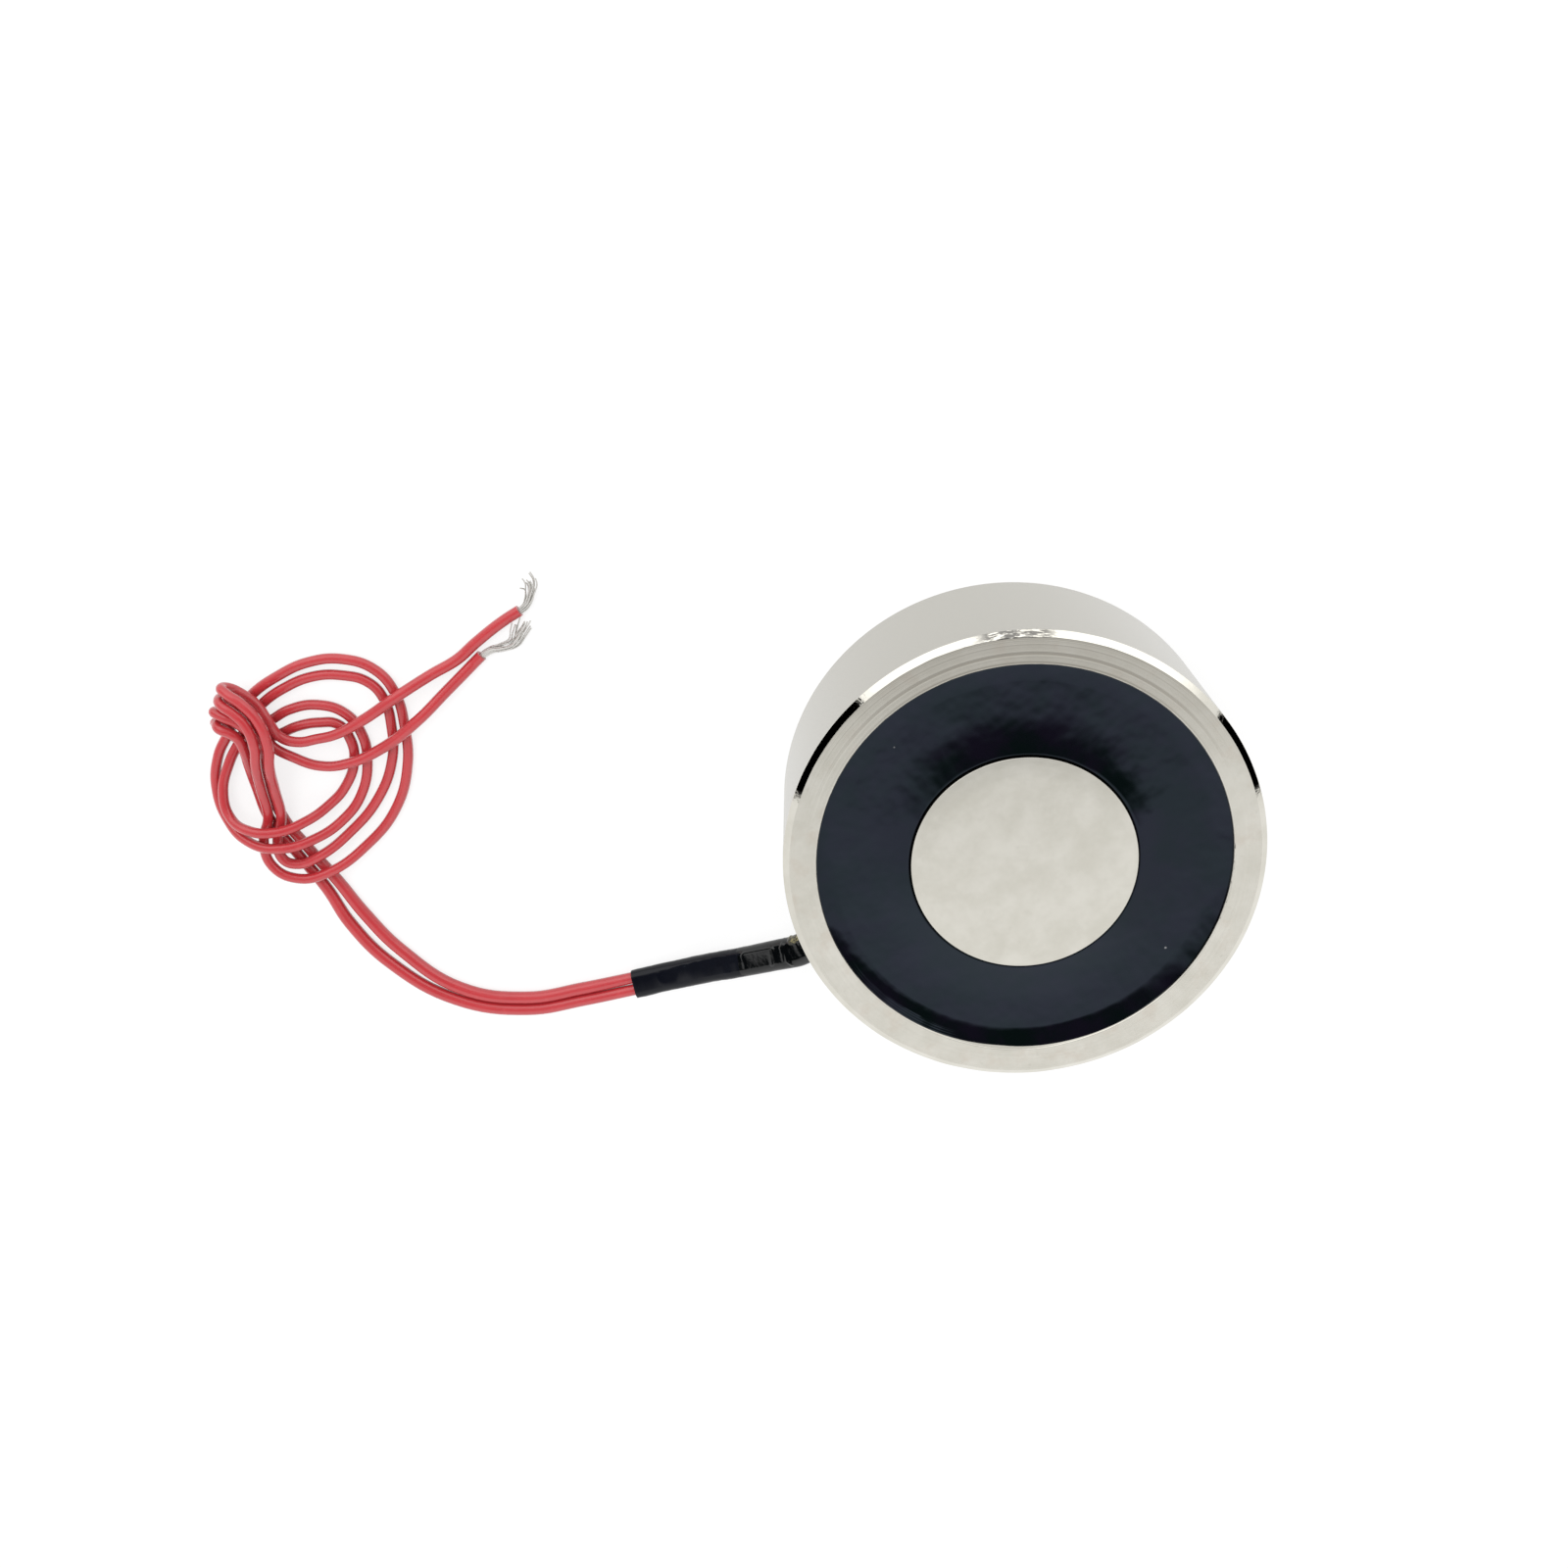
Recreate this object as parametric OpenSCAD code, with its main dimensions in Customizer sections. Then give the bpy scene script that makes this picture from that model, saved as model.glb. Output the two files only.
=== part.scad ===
// Round holding electromagnet: a steel pot with its core, a coil cast in resin, and two flying leads.
// The back lies on z = 0 with the tapped hole in its middle, the holding face is up,
// and the leads come out of the side wall along +X and lie on the surface that the back rests on.

/* [Pot] */
// Outside diameter of the pot
pot_d = 50; // [46:1:60]
// Height from the back to the holding face
pot_h = 20; // [18:0.5:26]
// Thickness of the side wall
wall_t = 3.5; // [2.5:0.1:4.5]
// Diameter of the core
core_d = 23.5; // [19:0.5:25]
// Thickness of the pot's base
base_t = 5.5; // [4.5:0.1:6.5]
// Chamfer on the front outer edge
front_chamfer = 0.6; // [0.2:0.1:1]
// Chamfer on the back outer edge
back_chamfer = 0.5; // [0.2:0.1:1]
// Edge break on the two front edges of the ring pocket
pocket_break = 0.2; // [0.1:0.05:0.3]

/* [Mounting hole] */
// Tapping diameter of the thread in the back
tap_d = 4.2; // [3.3:0.1:5]
// Depth of the tapped wall, measured from the back
tap_depth = 10; // [7:0.5:12]
// How much wider the countersink's mouth is than the hole
mouth_extra = 1.4; // [0.6:0.1:2]
// Angle of the drill point
drill_angle = 118; // [90:1:140]

/* [Coil] */
// Thickness of the bobbin's flanges
flange_t = 1; // [0.8:0.1:1.2]
// Wall of the bobbin's tube
tube_t = 0.8; // [0.6:0.1:1]
// Clearance between the core and the bobbin
core_gap = 0.2; // [0.1:0.05:0.3]
// Clearance between the flange rims and the side wall
flange_gap = 0.5; // [0.3:0.1:0.8]
// Depth of the room for the joints, from the flange rims to the tape
joint_room = 2; // [1.8:0.1:2.4]
// Thickness of the tape round the winding
tape_t = 0.2; // [0.1:0.05:0.4]
// Diameter of the winding's two tails
tail_d = 0.5; // [0.3:0.1:0.7]

/* [Resin] */
// Depth of the resin's level below the holding face
resin_drop = 0.9; // [0.8:0.1:1.4]
// Resin over the bobbin's top flange
resin_cover = 2.6; // [2:0.1:3]
// How far the resin creeps up the core
core_rise = 0.6; // [0.3:0.1:0.6]
// Width of that creep
core_rise_w = 5; // [2:0.5:6]
// How far the resin creeps up the side wall
wall_rise = 0.7; // [0.3:0.1:0.7]
// Width of that creep
wall_rise_w = 1.8; // [0.5:0.1:2.5]

/* [Leads] */
// Diameter over the insulation of one lead
wire_od = 1.4; // [1:0.1:1.4]
// Diameter of the bare strands
strand_d = 0.9; // [0.5:0.1:0.9]
// Wall of the sleeve over both leads
sleeve_t = 0.15; // [0.1:0.05:0.2]
// Clearance between the sleeve and the leads, and between the leads in it
sleeve_gap = 0.05; // [0.05:0.01:0.08]
// Room round the sleeve in the exit hole, all told
exit_room = 0.35; // [0.2:0.05:0.6]
// Width of the glue seal where it meets the side wall
seal_w = 5.6; // [4.6:0.1:6]
// How far the seal stands out from the side wall
seal_out = 1.6; // [0.8:0.1:2]

/* [Joints] */
// Diameter of a soldered joint
splice_d = 1; // [0.8:0.1:1.2]
// Wall of the sleeving over a joint
splice_sleeve_t = 0.15; // [0.1:0.05:0.2]
// Clearance between that sleeving and the lead
splice_gap = 0.1; // [0.05:0.05:0.15]
// Where the sleeving starts, in degrees round from the exit hole
splice_sleeve_from = 14; // [13:0.5:16]
// Where a lead ends and its joint starts
splice_from = 18; // [17:0.5:20]
// Where a joint ends and the winding's tail starts
splice_to = 32; // [28:1:33]
// Where the sleeving ends
splice_sleeve_to = 36; // [34:1:38]
// Where a tail turns in to the winding
tail_at = 40; // [39:1:44]

/* [Hidden] */
$fn = 128;

pot_r = pot_d / 2;
bore_r = pot_r - wall_t;
core_r = core_d / 2;
tap_r = tap_d / 2;
mouth_r = tap_r + mouth_extra / 2;
mouth_depth = mouth_extra / 2;
drill_tip = tap_r / tan(drill_angle / 2);

resin_z = pot_h - resin_drop;
bobbin_z = resin_z - resin_cover;
bobbin_r = core_r + core_gap;
flange_r = bore_r - flange_gap;
tape_r = flange_r - joint_room;
winding_z = base_t + flange_t;
winding_top = bobbin_z - flange_t;
core_steps = 8;
wall_steps = 6;

wire_r = wire_od / 2;
splice_sleeve_in = wire_r + splice_gap;
splice_sleeve_r = splice_sleeve_in + splice_sleeve_t;
joint_r = (tape_r + bore_r) / 2;
joint_lift = 0.15;
exit_z = winding_z + splice_sleeve_r + joint_lift;

pair_pitch = wire_od + sleeve_gap;
sleeve_in = wire_r + sleeve_gap;
sleeve_r = sleeve_in + sleeve_t;
exit_d = pair_pitch + 2 * sleeve_r + exit_room;
seal_r = (seal_w * seal_w / 4 + seal_out * seal_out) / (2 * seal_out);

wire_sides = 8;
sleeve_sides = 16;
cut = 1;

// Inside the pot each lead runs from its joint round to the exit hole: degrees round from the hole
ROOT = [splice_from, splice_from - 0.2, 12, 6.5];
root_in = 0.6;
root_apart = 0.9;

// The two leads in their sleeve: out from the side wall, across, share of the exit's height
SLEEVED = [
    [-3, 0, 1],
    [0.2, 0, 1],
    [3.4, -0.3, 0.93],
    [7, -1.2, 0.74],
    [11, -2, 0.51],
    [15, -2.8, 0.28],
    [19.4, -3.8, 0.1],
    [24, -5.2, 0.04],
];

// The two leads past the sleeve: out from the side wall, across, lift off the surface, gap between the two,
// and where they lie partly on each other, the degrees that the pair leans with lead a up.
// A gap with a minus sign means that the leads have changed sides, as they do in each fold.
BUNDLE = [
    [29.8, -7.2, 0, 0.1],
    [36.2, -10.1, 0, 0.2],
    [42.1, -15.8, 0, 0.3],
    [45.1, -24, 0, 0.9],
    [45.6, -30.4, 0, 0.8],
    [45.2, -35.4, 0, 0.3],
    [45.2, -40.6, 0, 0.1],
    [45, -45.6, 0, 0.1],
    // up over the strands below and into the first fold
    [43.4, -49.4, 0.6, 0.1],
    [41.6, -52, 2.2, 0.1],
    [40.2, -53.8, 3.4, 0.1],
    [39.6, -55.6, 3.8, 0.1],
    [39.9, -56.9, 3.9, 0.1],
    [40.7, -58.1, 3.7, 0.1],
    [41.2, -58.8, 2.9, 0.1],
    [41.2, -58.4, 2, -0.1],
    [40.9, -57.1, 1.5, -0.1],
    [40.8, -55.8, 1.5, -0.1],
    [39.8, -54.6, 1.1, -0.1],
    // the inner loop, lying down
    [38, -54, 0.1, -0.4],
    [35.4, -53.6, 0, -0.7],
    [32.8, -52.4, 0, -0.7],
    [31, -50.4, 0, -0.2],
    [31, -48, 0, -0.1],
    [32.4, -45.4, 0, -0.1],
    [35.6, -43, 0, -0.6],
    // over the first run and down on its far side
    [38.6, -42.2, 0.5, -0.9],
    [41.8, -42.4, 1.9, -0.9],
    [45.2, -43.8, 3.2, -0.6],
    [47.7, -46, 2.8, -0.5, 25],
    [48.9, -48.8, 1.2, -0.1, 50],
    [47.8, -51.8, 0.6, -0.1, 45],
    // back under both folds
    [45, -54.4, 0.3, -0.2, 20],
    [42.2, -55.8, 0, -0.1],
    [39.8, -57, 0, -0.1],
    [37.4, -57.6, 0, -0.1],
    // the outer loop
    [33.8, -57.6, 0, -0.1],
    [30, -56.8, 0, -0.3],
    [27, -55, 0, -0.5],
    [25, -52.4, 0, -0.3],
    [24.8, -49.6, 0, -0.1],
    [26.4, -46, 0, -0.1],
    [29, -42.6, 0, -0.4],
    [33.4, -39.6, 0, -0.9],
    [38.6, -38.2, 0.3, -1],
    [43.6, -38.2, 1.5, -0.8],
    [46.8, -39.4, 1.5, -0.4],
    [47.8, -41.4, 1.5, -0.2],
    [46.8, -43.8, 1.5, -0.2],
    [44.4, -45.8, 1.6, -0.1],
    // up into the second fold
    [42.2, -49, 2.6, -0.1],
    [40, -51.6, 4.4, -0.1],
    [38.2, -53.6, 5.1, -0.1],
    [37.2, -56.2, 5.3, -0.1],
    [37.4, -58.4, 5.2, -0.1],
    [38.1, -59.9, 4.7, -0.1],
    [38.5, -60.6, 3.8, -0.1],
    [38.4, -60.3, 2.7, 0.1],
    [38, -59, 2.1, 0.1],
    [37.6, -57.2, 1.9, 0.1],
    [37.7, -55.2, 2.2, 0.1],
    // out across the loops to the free ends
    [38, -52.8, 1.8, 0.1],
    [37, -50.8, 1.6, 0.5],
    [35.2, -49, 1.3, 1.8],
    [32.6, -47.8, 1.5, 2.2],
    [28.6, -47.2, 1.5, 2.4],
    [23.6, -46.8, 1.5, 2.2],
    [19.2, -47.2, 0.7, 0.6],
    [15.8, -47.3, 0.2, 0.1],
];

// The last stretch of each lead, and its bare strands: out from the side wall, across, lift
END_A = [[13, -48.6, 0], [9, -49, 0], [6.8, -48.8, 0]];
END_B = [[14.6, -46.7, 0], [13.4, -46.9, 0]];
STRANDS_A = [[6.8, -48.8, 0], [6, -48.8, 0], [5.2, -49.2, 0.1], [4.4, -49.9, 0.3], [3.6, -51.2, 0.8]];
STRANDS_B = [[13.4, -46.9, 0], [12.3, -47, 0], [11, -46.6, 0], [9.5, -46.3, 0.1], [8, -46.9, 0.3]];

function unit(v) = v / norm(v);

function place(p) = [pot_r + p[0], p[1], wire_r + p[2]];

// Heading at point i of a route, seen from above and seen whole
function step(route, i) = route[min(i + 1, len(route) - 1)] - route[max(i - 1, 0)];
function left(route, i) = let (d = step(route, i)) unit([-d[1], d[0], 0]);
function along(route, i) = unit(step(route, i));

// The middle of the pair, and from there the way to lead a
MIDDLE = concat(
    [for (p = SLEEVED) [pot_r + p[0], p[1], wire_r + p[2] * (exit_z - wire_r)]],
    [for (p = BUNDLE) place(p)]
);
APART = concat([for (p = SLEEVED) sleeve_gap], [for (p = BUNDLE) p[3]]);
LEAN = concat([for (p = SLEEVED) 0], [for (p = BUNDLE) len(p) > 4 ? p[4] : 0]);
SIDE = [for (i = [0 : len(MIDDLE) - 1])
    cos(LEAN[i]) * (APART[i] < 0 ? -1 : 1) * left(MIDDLE, i) + [0, 0, sin(LEAN[i])]];

// One lead from its joint to the end of its insulation; way is 1 for lead a and -1 for lead b
function root(way) = concat(
    [for (a = ROOT) [joint_r * cos(a), way * joint_r * sin(a), exit_z]],
    [[bore_r - root_in, way * root_apart, exit_z]]
);
function paired(way) = [for (i = [0 : len(MIDDLE) - 1])
    MIDDLE[i] + way * (wire_od + abs(APART[i])) / 2 * SIDE[i]];
function lead(way) = concat(root(way), paired(way), [for (p = way > 0 ? END_A : END_B) place(p)]);
function lead_side(way) = let (r = root(way), w = lead(way), n = len(r), m = len(MIDDLE))
    [for (i = [0 : len(w) - 1]) i < n || i >= n + m ? left(w, i) : SIDE[i - n]];

// Cross-section of a tube at point c: a circle, or two half circles half_pitch to each side of c
function ring(c, t, s, half_pitch, r, sides) =
    let (v = unit(cross(t, s)), u = cross(v, t))
    [for (k = [0 : sides - 1])
        let (a = (k + 0.5) * 360 / sides)
        c + (r * cos(a) + sign(cos(a)) * half_pitch) * u + r * sin(a) * v];

// A closed tube along a route, with its radius at each point and the way to its side at each point
module tube(route, side, half_pitch, radius, sides) {
    n = len(route);
    rings = [for (i = [0 : n - 1]) each
        ring(route[i], along(route, i), side[i], half_pitch, radius[i], sides)];
    walls = [for (i = [0 : n - 2]) for (k = [0 : sides - 1])
        let (j = (k + 1) % sides)
        [i * sides + k, (i + 1) * sides + k, (i + 1) * sides + j, i * sides + j]];
    first = [for (k = [0 : sides - 1]) k];
    last = [for (k = [sides - 1 : -1 : 0]) (n - 1) * sides + k];
    polyhedron(rings, concat([first], walls, [last]));
}

module lead_wire(way) {
    route = lead(way);
    tube(route, lead_side(way), 0, [for (p = route) wire_r], wire_sides);
}

// Both leads' sleeve, as the outside at radius r, carried on past its two ends by the length extra
module sleeve_body(r, extra) {
    n = len(SLEEVED);
    inner = [for (i = [0 : n - 1]) MIDDLE[i]];
    start = inner[0] - extra * unit(inner[1] - inner[0]);
    end = inner[n - 1] + extra * unit(inner[n - 1] - inner[n - 2]);
    route = concat([start], [for (i = [1 : n - 2]) inner[i]], [end]);
    tube(route, [for (i = [0 : n - 1]) SIDE[i]], pair_pitch / 2, [for (p = route) r], sleeve_sides);
}

module bare_strands(points) {
    route = [for (p = points) place(p)];
    n = len(route);
    radius = [for (i = [0 : n - 1]) strand_d / 2 * (1 - 0.4 * i / (n - 1))];
    tube(route, [for (i = [0 : n - 1]) left(route, i)], 0, radius, wire_sides);
}

// A round rod bent round the coil at the joints' height
module bent_rod(r, from, to) {
    translate([0, 0, exit_z])
        rotate([0, 0, from])
            rotate_extrude(angle = to - from)
                translate([joint_r, 0])
                    circle(r, $fn = 48);
}

module mirror_for(way) {
    mirror([0, way < 0 ? 1 : 0, 0])
        children();
}

// From the joint along its circle, then in to the winding
module tail() {
    bent_rod(tail_d / 2, splice_to, tail_at);
    translate([0, 0, exit_z])
        rotate([0, 0, tail_at]) {
            translate([joint_r, 0, 0])
                sphere(tail_d / 2, $fn = 48);
            translate([tape_r - tape_t - cut, 0, 0])
                rotate([0, 90, 0])
                    cylinder(r = tail_d / 2, h = joint_r - tape_r + tape_t + cut, $fn = 48);
        }
}

module exit_bore(from) {
    translate([from, 0, exit_z])
        rotate([0, 90, 0])
            cylinder(d = exit_d, h = pot_r - from + cut, $fn = 64);
}

module pot_shell() {
    color("silver")
    difference() {
        rotate_extrude()
            polygon([
                [mouth_r, 0],
                [pot_r - back_chamfer, 0],
                [pot_r, back_chamfer],
                [pot_r, pot_h - front_chamfer],
                [pot_r - front_chamfer, pot_h],
                [bore_r + pocket_break, pot_h],
                [bore_r, pot_h - pocket_break],
                [bore_r, base_t],
                [core_r, base_t],
                [core_r, pot_h - pocket_break],
                [core_r - pocket_break, pot_h],
                [0, pot_h],
                [0, tap_depth + drill_tip],
                [tap_r, tap_depth],
                [tap_r, mouth_depth],
            ]);
        exit_bore(bore_r - cut);
    }
}

module bobbin() {
    color("ivory")
    rotate_extrude()
        polygon([
            [bobbin_r, base_t],
            [flange_r, base_t],
            [flange_r, winding_z],
            [bobbin_r + tube_t, winding_z],
            [bobbin_r + tube_t, winding_top],
            [flange_r, winding_top],
            [flange_r, bobbin_z],
            [bobbin_r, bobbin_z],
        ]);
}

module coil_winding() {
    color("chocolate") {
        rotate_extrude()
            polygon([
                [bobbin_r + tube_t, winding_z],
                [tape_r - tape_t, winding_z],
                [tape_r - tape_t, winding_top],
                [bobbin_r + tube_t, winding_top],
            ]);
        for (way = [1, -1])
            mirror_for(way) tail();
    }
}

module coil_tape() {
    color("gold")
    difference() {
        rotate_extrude()
            polygon([
                [tape_r - tape_t, winding_z],
                [tape_r, winding_z],
                [tape_r, winding_top],
                [tape_r - tape_t, winding_top],
            ]);
        for (way = [1, -1])
            mirror_for(way) tail();
    }
}

module splice(way) {
    color("lightgray")
    mirror_for(way)
        bent_rod(splice_d / 2, splice_from, splice_to);
}

module splice_sleeve(way) {
    color("dimgray")
    mirror_for(way)
        difference() {
            bent_rod(splice_sleeve_r, splice_sleeve_from, splice_sleeve_to);
            bent_rod(splice_sleeve_in, splice_sleeve_from - cut, splice_sleeve_to + cut);
        }
}

// The pocket less the coil, with a top that creeps up the core and the side wall
module potting_resin() {
    color("black")
    difference() {
        rotate_extrude()
            polygon(concat(
                [for (k = [0 : core_steps])
                    let (far = 1 - k / core_steps)
                    [core_r + core_rise_w * (1 - far), resin_z + core_rise * far * far]],
                [for (k = [0 : wall_steps])
                    let (near = k / wall_steps)
                    [bore_r - wall_rise_w * (1 - near), resin_z + wall_rise * near * near]],
                [
                    [bore_r, base_t],
                    [flange_r, base_t],
                    [flange_r, winding_z],
                    [tape_r, winding_z],
                    [tape_r, winding_top],
                    [flange_r, winding_top],
                    [flange_r, bobbin_z],
                    [bobbin_r, bobbin_z],
                    [bobbin_r, base_t],
                    [core_r, base_t],
                ]
            ));
        for (way = [1, -1]) {
            lead_wire(way);
            mirror_for(way) {
                bent_rod(splice_sleeve_r, splice_sleeve_from, splice_sleeve_to);
                tail();
            }
        }
    }
}

module exit_seal() {
    color("black")
    difference() {
        union() {
            difference() {
                exit_bore(bore_r - cut);
                translate([pot_r, -exit_d, exit_z - exit_d])
                    cube([2 * cut, 2 * exit_d, 2 * exit_d]);
            }
            difference() {
                translate([pot_r + seal_out - seal_r, 0, exit_z])
                    sphere(seal_r);
                cylinder(r = pot_r, h = pot_h);
            }
        }
        cylinder(r = bore_r, h = pot_h);
        sleeve_body(sleeve_r, 0);
        for (way = [1, -1])
            lead_wire(way);
    }
}

module lead_sleeve() {
    color("#202024")
    difference() {
        sleeve_body(sleeve_r, 0);
        sleeve_body(sleeve_in, cut);
    }
}

module lead_wire_a() {
    color("#d2414a")
    lead_wire(1);
}

module lead_wire_b() {
    color("#d2414a")
    lead_wire(-1);
}

module strands_a() {
    color("lightgray")
    bare_strands(STRANDS_A);
}

module strands_b() {
    color("lightgray")
    bare_strands(STRANDS_B);
}

pot_shell();
bobbin();
coil_winding();
coil_tape();
splice(1);  // splice_a
splice(-1);  // splice_b
splice_sleeve(1);  // splice_sleeve_a
splice_sleeve(-1);  // splice_sleeve_b
potting_resin();
exit_seal();
lead_sleeve();
lead_wire_a();
lead_wire_b();
strands_a();
strands_b();
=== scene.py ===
"""A holding electromagnet: a nickel-plated steel pot with a resin-cast coil,
and two red leads folded into a bundle."""

import math
import random

import bpy
from mathutils import Matrix, Vector, noise


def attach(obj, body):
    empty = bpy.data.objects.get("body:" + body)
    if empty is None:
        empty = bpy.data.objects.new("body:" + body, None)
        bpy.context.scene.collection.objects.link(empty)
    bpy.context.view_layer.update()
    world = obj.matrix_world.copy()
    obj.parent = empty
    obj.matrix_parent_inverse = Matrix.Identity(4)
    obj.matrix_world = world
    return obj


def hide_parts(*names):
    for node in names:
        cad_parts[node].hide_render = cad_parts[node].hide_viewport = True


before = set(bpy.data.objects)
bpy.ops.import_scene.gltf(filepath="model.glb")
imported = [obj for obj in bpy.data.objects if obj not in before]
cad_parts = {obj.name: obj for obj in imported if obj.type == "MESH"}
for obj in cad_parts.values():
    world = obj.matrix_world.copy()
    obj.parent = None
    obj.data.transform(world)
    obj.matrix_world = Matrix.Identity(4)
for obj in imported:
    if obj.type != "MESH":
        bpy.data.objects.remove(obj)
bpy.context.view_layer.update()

# Lengths are in millimetres, as in the part's source, and become metres as each piece is made
MM = 0.001

# Edges that turn by more than this many degrees are shaded sharp, where a piece doesn't say otherwise
SHARP_ANGLE = 35

# The pot: its radii and heights, its edges, the hole in its back and the middle of its scraped stretch
POT_R, POT_H = 25, 20
BORE_R, CORE_R, BASE_T = 21.5, 11.75, 5.5
CHAMFER_W, CHAMFER_H, BACK_CHAMFER, POCKET_BREAK, CORE_BREAK = 0.68, 0.55, 0.5, 0.12, 0.06
ROLL_OFF = 0.04
TAP_R, TAP_DEPTH, TAP_TIP, MOUTH_R = 2.1, 10, 1.2, 2.8
THREAD_PITCH, THREAD_DEPTH, THREAD_TURNS = 0.8, 0.3, 10
SCRAPE = (-12.4, -21.4, 19.7)

# The resin in the pocket, over the coil and round its flanges
RESIN_Z, COIL_TOP, FLANGE_R = 19.1, 16.5, 21

# The leads, their exit and the circle of their joints
WIRE_R, EXIT_Z, EXIT_R, JOINT_R = 0.7, 7.6, 1.8, 20.25

# The sleeve round the pair, the degrees that it leans at the exit and at the floor,
# and how far out from the side wall the one begins to change into the other and has done so
PAIR_GAP, SLEEVE_IN, SLEEVE_R, SLEEVE_LIFT = 0.05, 0.75, 1, 0.06
EXIT_LEAN, FLOOR_LEAN, LEAN_FROM, LEAN_TO = 24, 12, 12, 19

# How far the glue goes into the side wall and out from it
GLUE_IN, GLUE_REACH = 1.5, 10.6

# The bare strands: their radius, the circle that they start on and the lowest that their middles lie
STRAND_R, STRAND_RING, STRAND_LOW = 0.08, 0.3, 0.1

# The camera's place, its aim and its upward heading, with the places in metres,
# and the picture's right and top as headings along the floor
EYE = Vector((-0.01996, -0.06982, 0.17631))
AIM = Vector((0.01981, -0.01533, 0))
PICTURE_TOP = Vector((-0.53354, -0.76663, -0.35724))
LENS = 37.878
RIGHTWARD = Vector((-0.81915, 0.57358, 0))
TOPWARD = Vector((-0.57358, -0.81915, 0))

# The leads inside the pot: degrees round from the exit hole, on the joints' circle
ROOT = [18, 17.8, 12, 6.5]
ROOT_IN, ROOT_APART = 0.6, 0.9

# The leads in their sleeve: out from the side wall, across, share of the exit's height
SLEEVED = [
    (-3, 0, 1), (0.2, 0, 1), (3.4, 0.1, 0.93), (7, -0.6, 0.74),
    (11, -1.4, 0.51), (15, -2.3, 0.28), (19.4, -3.4, 0.1), (24, -5, 0.04),
]

# The leads past it: out from the side wall, across, lift, gap between the two,
# and where they lie partly on each other, the degrees that the pair leans with lead a up.
# A gap with a minus sign means that the leads have changed sides, as they do in each fold.
BUNDLE = [
    (29.8, -7.2, 0.06, 0.12), (36.2, -10.1, 0.06, 0.15), (42.1, -15.8, 0.06, 0.22), (45.1, -24, 0.06, 0.8),
    (45.6, -30.4, 0.06, 0.8), (45.2, -35.4, 0, 0.3), (45.2, -40.6, 0, 0.1), (45, -45.6, 0, 0.1),
    # up over the strands below and into the first fold
    (43.4, -49.4, 0.6, 0.1), (41.6, -52, 2.2, 0.1), (40.2, -53.8, 3.4, 0.1), (39.6, -55.6, 3.8, 0.1),
    (39.9, -56.9, 3.9, 0.1), (40.7, -58.1, 3.7, 0.1), (41.2, -58.8, 2.9, 0.1), (41.2, -58.4, 2, -0.1),
    (40.9, -57.1, 1.5, -0.1), (40.8, -55.8, 1.5, -0.1), (39.8, -54.6, 1.1, -0.1),
    # the inner loop, lying down
    (38, -54, 0.1, -0.4), (35.4, -53.6, 0, -0.7), (32.8, -52.4, 0, -0.7), (31, -50.4, 0, -0.2),
    (31, -48, 0, -0.1), (32.4, -45.4, 0, -0.1), (35.6, -43, 0, -0.6),
    # over the first run and down on its far side
    (38.6, -42.2, 0.5, -0.9), (41.8, -42.4, 1.9, -0.9), (45.2, -43.8, 3.2, -0.6),
    (47.7, -46, 2.8, -0.5, 25), (48.9, -48.8, 1.2, -0.1, 50), (47.8, -51.8, 0.6, -0.1, 45),
    # back under both folds
    (45, -54.4, 0.3, -0.2, 20), (42.2, -55.8, 0, -0.1), (39.8, -57, 0, -0.1), (37.4, -57.6, 0, -0.1),
    # the outer loop
    (33.8, -57.6, 0, -0.1), (30, -56.8, 0, -0.3), (27, -55, 0, -0.5), (25, -52.4, 0, -0.3),
    (24.8, -49.6, 0, -0.1), (26.4, -46, 0, -0.1), (29, -42.6, 0, -0.4), (33.4, -39.6, 0, -0.9),
    (38.6, -38.2, 0.3, -1), (43.6, -38.2, 1.5, -0.8), (46.8, -39.4, 1.5, -0.4),
    (47.8, -41.4, 1.5, -0.2), (46.8, -43.8, 1.5, -0.2), (44.4, -45.8, 1.6, -0.1),
    # up into the second fold
    (42.2, -49, 2.6, -0.1), (40, -51.6, 4.4, -0.1), (38.2, -53.6, 5.1, -0.1), (37.2, -56.2, 5.3, -0.1),
    (37.4, -58.4, 5.2, -0.1), (38.1, -59.9, 4.7, -0.1), (38.5, -60.6, 3.8, -0.1), (38.4, -60.3, 2.7, 0.1),
    (38, -59, 2.1, 0.1), (37.6, -57.2, 1.9, 0.1), (37.7, -55.2, 2.2, 0.1),
    # out across the loops to the free ends
    (38, -52.8, 1.8, 0.1), (37, -50.8, 1.6, 0.5), (35.2, -49, 1.3, 1.8), (32.6, -47.8, 1.5, 2.2),
    (28.6, -47.2, 1.5, 2.4), (23.6, -47.3, 1.5, 2.1), (19.2, -47.5, 0.7, 1.1), (15.8, -47.6, 0.2, 0.2),
]

# From which point of its route a lead has which share of its thickness
GIRTHS = [(0, 1), (13, 1.08), (18, 1), (19, 0.93), (21, 0.85), (78, 0.92)]

# The last stretch of each lead, and the middle of its bare strands: out, across, lift
END_A = [(13, -48.7, 0), (9, -48.9, 0), (6.8, -48.8, 0)]
END_B = [(14.6, -47, 0), (13.4, -47.2, 0)]
STRANDS_A = [
    (7.4, -48.8, 0), (6, -48.8, 0), (5.2, -49.2, 0.1),
    (4.4, -49.9, 0.3), (3.8, -50.6, 0.6), (3.7, -51.4, 0.8),
]
STRANDS_B = [
    (14, -47.1, 0), (12.3, -47.1, 0), (11, -46.6, 0),
    (9.5, -46.3, 0.1), (8.4, -46.8, 0.2), (7.2, -47.4, 0.4),
]


# Node trees

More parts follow.
